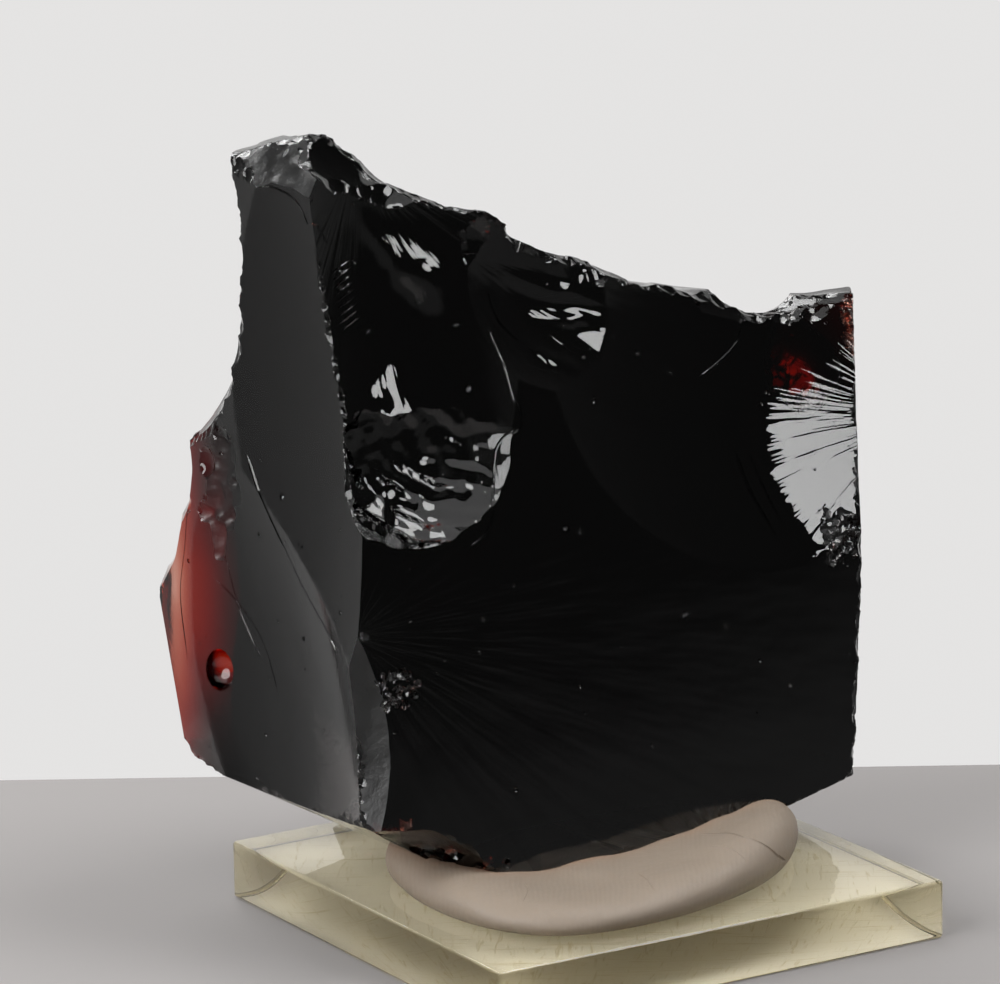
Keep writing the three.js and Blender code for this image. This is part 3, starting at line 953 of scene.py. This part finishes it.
def coat(tree, clear=None, **sockets):
    """Wire up the shader, and the tint of the clear stuff under it where its settings are given."""
    shader = node(tree, "ShaderNodeBsdfPrincipled", **sockets)
    output = node(tree, "ShaderNodeOutputMaterial", Surface=shader.outputs["BSDF"])
    if clear:
        tint = (*clear.tint, 1)
        depth = node(tree, "ShaderNodeVolumeAbsorption", Color=tint, Density=clear.density)
        feed(tree, output.inputs["Volume"], depth.outputs["Volume"])


def clear_coat(tree, clear, rough, normal):
    """Wire up clear stuff that bends light by its own IOR."""
    coat(
        tree, clear, Base_Color=WHITE, Transmission_Weight=1, IOR=clear.ior, Roughness=rough, Normal=normal
    )


def slag_glass_material(settings):
    """Deep red glass that looks black where it is thick, with hackles and pinholes on its breaks."""
    material, tree = fresh_material("slag_glass")
    here = own_place(tree)
    finish = node(tree, "ShaderNodeSeparateXYZ", Vector=own_map(tree, "finish"))
    hackle, rough = finish.outputs["X"], finish.outputs["Y"]
    hackles = times(tree, streaks(tree, own_map(tree, "scar"), (12, 7, 1), 2, 0.55), hackle)
    ripple = times(tree, noise(tree, here, 260, 2), 0.15)
    satin = ramp(tree, rough, (0.03, 0.07), (0, 0.16))
    grain = times(tree, noise(tree, here, 1500, 3, 0.6), satin)
    rough_only = ramp(tree, rough, (0.15, 0.3), (0, 1))
    crumb = times(tree, noise(tree, here, 650, 6, 0.7), rough_only)
    cells = node(tree, "ShaderNodeTexVoronoi", Vector=here, Scale=230)
    specks = ramp(tree, cells.outputs["Distance"], (0, 0.05), (0.55, 0))
    height = total(tree, total(tree, hackles, ripple), total(tree, specks, crumb), grain)
    clear_coat(tree, settings, rough, bump(tree, height, 0.00012, 1))
    return material


def tack_material(settings):
    """Matte hand-pressed tack, with painted shade where it meets the glass, skin prints and small pits."""
    material, tree = fresh_material("mineral_tack")
    here = own_place(tree)
    contact = node(tree, "ShaderNodeAttribute", {"attribute_name": "contact"}).outputs["Fac"]
    # Painted shade: a patchy browner colour near the glass, standing in for the shade that the chunk casts on
    # the tack.
    painted_shade = times(tree, contact, times(tree, noise(tree, here, 160), 1.5))
    wave = {"Vector": here, "Scale": 620, "Distortion": 7, "Detail": 1, "Detail_Scale": 0.25}
    prints = times(tree, node(tree, "ShaderNodeTexWave", **wave).outputs["Fac"], 0.12)
    skin = total(tree, prints, noise(tree, here, 900, 4))
    coat(
        tree,
        Base_Color=blend(tree, painted_shade, settings.colour, settings.painted_shade),
        Roughness=0.62,
        Subsurface_Weight=0.15,
        Subsurface_Radius=(0.002, 0.0014, 0.001),
        Normal=bump(tree, skin, 0.00012, 0.7),
    )
    return material


def acrylic_material(settings):
    """Clear pale yellow acrylic with fine scratches."""
    material, tree = fresh_material("clear_acrylic")
    scratches = times(tree, streaks(tree, own_place(tree), (1600, 120, 400), 2), 0.25)
    clear_coat(tree, settings, 0.02, bump(tree, scratches, 0.00002, 0.6))
    return material


def ground_acrylic_material(settings):
    """The pale ground underside of the acrylic, with its deeper scratches."""
    material, tree = fresh_material("ground_acrylic")
    here = own_place(tree)
    ways = [streaks(tree, here, scale, 4, 0.7, 1.5) for scale in ((60, 1500, 1), (1200, 140, 1))]
    cuts = ramp(tree, joined(tree, "MAXIMUM", *ways), (0.55, 0.72), (0, 1))
    ground = blend(tree, cuts, settings.ground, settings.scratch)
    coat(tree, settings, Base_Color=ground, Roughness=0.5, Normal=bump(tree, cuts, 0.00005, 0.8))
    return material


def plain_material(name, tint, rough):
    """A plain matte colour for the floor."""
    material, tree = fresh_material(name)
    coat(tree, Base_Color=(*tint, 1), Roughness=rough)
    return material


def glowing_material(name, strength):
    """An even white glow for the backdrop."""
    material, tree = fresh_material(name)
    glow = node(tree, "ShaderNodeEmission", Color=PALE, Strength=strength)
    node(tree, "ShaderNodeOutputMaterial", Surface=glow.outputs["Emission"])
    return material


# ---- operators ----
class GLASSCHUNK_OT_chunk(bpy.types.Operator):
    """Break the chunk of slag glass out of its block"""

    bl_idname = "glasschunk.chunk"
    bl_label = "Slag glass chunk"

    def execute(self, context):
        settings = context.scene.glass_chunk
        chunk = hewn_block()
        for seed, (name, shape) in enumerate(BREAKS.items()):
            cut_away(chunk, scar_cutter(name, shape, seed))
        wear_down(chunk, settings, np.random.default_rng(SEED))
        score_lines(chunk)
        cut_away(chunk, bubble_cutter())
        chunk.data.transform(Matrix.Scale(MM, 4))
        chunk.data.update()
        only(chunk)
        bpy.ops.object.shade_smooth_by_angle(angle=settings.crisp_angle)
        chunk.data.materials.clear()
        chunk.data.materials.append(slag_glass_material(settings))
        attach(chunk, "root")
        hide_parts("slag_glass_chunk")
        return {"FINISHED"}


class GLASSCHUNK_OT_tack(bpy.types.Operator):
    """Press the lump of tack round the foot of the chunk"""

    bl_idname = "glasschunk.tack"
    bl_label = "Lump of tack"

    def execute(self, context):
        settings = context.scene.glass_tack
        lump = tack_lump(settings)
        glass = bpy.data.objects["slag_glass"]
        cut_away(lump, added("glass", glass.data.copy()))
        crease_tack(lump)
        mark_contact(lump, glass)
        only(lump)
        bpy.ops.object.shade_smooth_by_angle(angle=TACK_CRISP)
        lump.data.materials.clear()
        lump.data.materials.append(tack_material(settings))
        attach(lump, "root")
        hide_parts("mineral_tack")
        return {"FINISHED"}


def tack_profile():
    """The share of the way out and up, from the flat top round the belly to the foot."""
    belly, round_over, tuck = TACK["belly"], TACK["round_over"], TACK["tuck"]
    over = np.radians(np.arange(90, -1, -6))
    upper = np.column_stack((1 - round_over * (1 - np.cos(over)), belly + (1 - belly) * np.sin(over)))
    under = np.radians(np.arange(-10, -61, -10))
    share = np.sin(under) / math.sin(math.radians(60))
    lower = np.column_stack((1 - tuck * (1 - np.cos(under)), belly * (1 + share)))
    return np.vstack(((0, 1), upper, lower))


def tack_rim(turn):
    """Where the lump's outline lies, from its middle, at each turn round it."""
    knots = np.array(TACK["outline"], float)
    knots = np.vstack((knots[-1:], knots, knots[:2]))
    rim = smooth_curve(knots, np.linspace(0, len(TACK["outline"]), 720, endpoint=False))
    middle = np.array(TACK["middle"])
    rim_turn = np.arctan2(rim[:, 1] - middle[1], rim[:, 0] - middle[0]) % (2 * math.pi)
    order = np.argsort(rim_turn)
    rim, rim_turn = rim[order], rim_turn[order]
    wrapped = np.concatenate((rim_turn[-1:] - 2 * math.pi, rim_turn, rim_turn[:1] + 2 * math.pi))
    rim = np.vstack((rim[-1:], rim, rim[:1]))
    return np.column_stack([np.interp(turn, wrapped, rim[:, axis]) for axis in (0, 1)]) - middle


def tack_lump(settings):
    """The closed lump before the glass is pressed in."""
    across = 2 * settings.rings
    bpy.ops.mesh.primitive_grid_add(x_subdivisions=across, y_subdivisions=across, size=2)
    lump = named(bpy.context.object, "tack_lump")
    flat = places(lump.data)
    edge = tack_rim(np.arctan2(flat[:, 1], flat[:, 0]) % (2 * math.pi))
    profile = tack_profile()
    steps = np.diff(profile, axis=0) * (TACK["half_length"], 4)
    bend = np.cumsum(np.concatenate(([0], np.hypot(steps[:, 0], steps[:, 1]))))
    bend /= bend[-1]
    reach = np.abs(flat[:, :2]).max(1)
    rise = np.interp(reach, bend, profile[:, 1])
    level = edge * np.interp(reach, bend, profile[:, 0])[:, None] + TACK["middle"]
    top = TACK["height"] + TACK["end_rise"] * (level[:, 0] / TACK["half_length"]) ** 2
    lumps = settings.lumps / MM * waves(level[:, 0] / 4, level[:, 1] / 4 + rise, 3) * np.minimum(1, rise * 2)
    rows = np.column_stack((level, BASE_THICK + TACK["gap"] + rise * top + lumps))
    put_places(lump.data, rows * MM)
    open_up(lump)
    bpy.ops.mesh.select_all(action="DESELECT")
    bpy.ops.mesh.select_non_manifold()
    bpy.ops.mesh.edge_face_add()
    close_up()
    return lump


def crease_tack(lump):
    """Press the folds into the lump."""
    surface = surface_of(lump.data)
    for half_width, points in TACK["creases"]:
        cut_away(lump, groove_cutter(np.array(points) * MM, half_width * MM, surface))


def mark_contact(lump, glass):
    """Note on each point of the tack how near the glass it lies."""
    surface = surface_of(glass.data)
    # The painted shade under the chunk fades over this distance from the glass.
    fade = TACK["shade_reach"] * MM
    near = [math.exp(-(surface.find_nearest(point.co)[3] or 0) / fade) for point in lump.data.vertices]
    lump.data.attributes.new("contact", "FLOAT", "POINT").data.foreach_set("value", near)


class GLASSCHUNK_OT_base(bpy.types.Operator):
    """Saw and polish the clear square base"""

    bl_idname = "glasschunk.base"
    bl_label = "Clear base"

    def execute(self, context):
        settings = context.scene.glass_base
        thick = BASE_HIGH.z - BASE_LOW.z
        bpy.ops.mesh.primitive_cube_add(size=1)
        base = named(context.object, "acrylic_square")
        open_up(base)
        bpy.ops.transform.resize(value=(BASE_SIDE * MM, BASE_SIDE * MM, thick))
        bpy.ops.transform.translate(value=(0, 0, BASE_LOW.z + thick / 2))
        bpy.ops.mesh.bevel(offset=settings.arris, segments=3, affect="EDGES")
        bpy.ops.object.mode_set(mode="OBJECT")
        base.data.transform(Matrix.Rotation(BASE_TURN, 4, "Z"))
        bpy.ops.object.shade_smooth_by_angle(angle=BASE_CRISP)
        base.data.materials.append(acrylic_material(settings))
        base.data.materials.append(ground_acrylic_material(settings))
        for face in base.data.polygons:
            face.material_index = 1 if face.normal.z < -0.99 else 0
        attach(base, "root")
        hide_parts("acrylic_base")
        return {"FINISHED"}


SIGHT = {"target": (-7.64, 0, 43.35), "rise": math.radians(14.1), "roll": math.radians(-0.9), "distance": 631}
# Round soft lights: the setting with their power, their middle, their width and what they look at.
SOFT_BOXES = {
    "top_panel": ("top_light", (0, 0, 800), 1500, (0, 0, 40)),
    "key_box": ("key_light", (330, 30, 700), 380, (0, 0, 40)),
    "back_box": ("back_light", (-250, 450, 520), 500, (0, 0, 10)),
    "fill_box": ("fill_light", (-600, -430, 430), 800, (0, 0, 10)),
    "side_box": ("side_light", (540, -245, 435), 270, (10, 10, 45)),
}
TABLE = {"low": (-95, -260), "high": (56, 50.5), "thick": 12, "rough": 0.9}
BACKDROP = {"low": (-500, -530), "high": (610, 456), "behind": 760}


def soft_box(name, at, size, power, target):
    """A round area light that looks at a target."""
    light = bpy.data.lights.new(name, "AREA")
    light.shape = "DISK"
    light.size = size * MM
    light.energy = power
    place = Vector(at) * MM
    aim = (Vector(target) * MM - place).to_track_quat("-Z", "Y")
    added(name, light).matrix_world = Matrix.Translation(place) @ aim.to_matrix().to_4x4()


def flat_panel(name, low, high, level):
    """A level rectangle between two corners."""
    bpy.ops.mesh.primitive_plane_add(size=1)
    panel = named(bpy.context.object, name)
    size = (Vector(high) - Vector(low)) * MM
    middle = (Vector(high) + Vector(low)) / 2 * MM
    panel.data.transform(Matrix.Diagonal((*size, 1, 1)))
    panel.data.transform(Matrix.Translation((*middle, level)))
    return panel


def room_light(settings):
    """A pale room to look at, whose light is dim and a little stronger from the left."""
    world = bpy.data.worlds.new("room")
    world.use_nodes = True
    tree = world.node_tree
    whole = node(tree, "ShaderNodeTexCoord").outputs["Generated"]
    across = node(tree, "ShaderNodeSeparateXYZ", Vector=whole).outputs
    side = ramp(tree, across["X"], (-0.6, 0.1), (settings.left_glow, settings.gloom))
    low = ramp(tree, across["Z"], (-0.1, 0.06), (settings.low_glow, 0))
    camera = node(tree, "ShaderNodeLightPath").outputs["Is Camera Ray"]
    seen = node(tree, "ShaderNodeMix", Factor=camera, A=total(tree, side, low), B=settings.backdrop)
    background = tree.nodes["Background"]
    background.inputs["Color"].default_value = PALE
    tree.links.new(seen.outputs["Result"], background.inputs["Strength"])
    return world


def sight_camera(settings):
    """The camera, level with the chunk and a little above it."""
    view = bpy.data.cameras.new("camera")
    view.lens = settings.lens
    view.sensor_width = 36
    view.clip_start = 0.05
    view.clip_end = 20
    camera = added("camera", view)
    ahead = Vector((0, math.cos(SIGHT["rise"]), -math.sin(SIGHT["rise"])))
    place = (Vector(SIGHT["target"]) - ahead * SIGHT["distance"]) * MM
    look = ahead.to_track_quat("-Z", "Y").to_matrix().to_4x4()
    camera.matrix_world = Matrix.Translation(place) @ look @ Matrix.Rotation(SIGHT["roll"], 4, "Z")
    bpy.context.scene.camera = camera


class GLASSCHUNK_OT_stage(bpy.types.Operator):
    """Set out the floor, the backdrop, the lights and the camera"""

    bl_idname = "glasschunk.stage"
    bl_label = "Stage"

    def execute(self, context):
        settings = context.scene.glass_stage
        floor = flat_panel("floor", TABLE["low"], TABLE["high"], settings.gap)
        open_up(floor)
        bpy.ops.mesh.extrude_region_move(TRANSFORM_OT_translate={"value": (0, 0, -TABLE["thick"] * MM)})
        close_up()
        floor.data.materials.append(plain_material("floor", settings.floor, TABLE["rough"]))
        backdrop = flat_panel("backdrop", BACKDROP["low"], BACKDROP["high"], 0)
        backdrop.data.transform(Matrix.Rotation(math.radians(90), 4, "X"))
        backdrop.data.transform(Matrix.Translation((0, BACKDROP["behind"] * MM, 0)))
        backdrop.data.materials.append(glowing_material("backdrop", settings.backdrop))
        for name, (power, at, size, target) in SOFT_BOXES.items():
            soft_box(name, at, size, getattr(settings, power), target)
        context.scene.world = room_light(settings)
        context.scene.view_settings.view_transform = "Standard"
        sight_camera(settings)
        return {"FINISHED"}


class GLASSCHUNK_PT_panel(bpy.types.Panel):
    """Buttons for the chunk, its tack, its base and the stage"""

    bl_idname = "GLASSCHUNK_PT_panel"
    bl_label = "Glass chunk"
    bl_space_type = "VIEW_3D"
    bl_region_type = "UI"
    bl_category = "Glass chunk"

    def draw(self, context):
        for operator, settings in zip(OPERATORS, SETTINGS):
            box = self.layout.box()
            box.operator(operator.bl_idname)
            group = getattr(context.scene, settings)
            for name in group.__annotations__:
                box.prop(group, name)


OPERATORS = (GLASSCHUNK_OT_chunk, GLASSCHUNK_OT_tack, GLASSCHUNK_OT_base, GLASSCHUNK_OT_stage)
SETTINGS = {
    "glass_chunk": ChunkSettings,
    "glass_tack": TackSettings,
    "glass_base": BaseSettings,
    "glass_stage": StageSettings,
}


def register():
    for group in SETTINGS.values():
        bpy.utils.register_class(group)
    for name, group in SETTINGS.items():
        setattr(bpy.types.Scene, name, PointerProperty(type=group))
    for operator in OPERATORS:
        bpy.utils.register_class(operator)
    bpy.utils.register_class(GLASSCHUNK_PT_panel)


def unregister():
    bpy.utils.unregister_class(GLASSCHUNK_PT_panel)
    for operator in reversed(OPERATORS):
        bpy.utils.unregister_class(operator)
    for name, group in SETTINGS.items():
        delattr(bpy.types.Scene, name)
        bpy.utils.unregister_class(group)


def main():
    register()
    bpy.ops.glasschunk.chunk()
    bpy.ops.glasschunk.tack()
    bpy.ops.glasschunk.base()
    bpy.ops.glasschunk.stage()


if __name__ == "__main__":
    main()
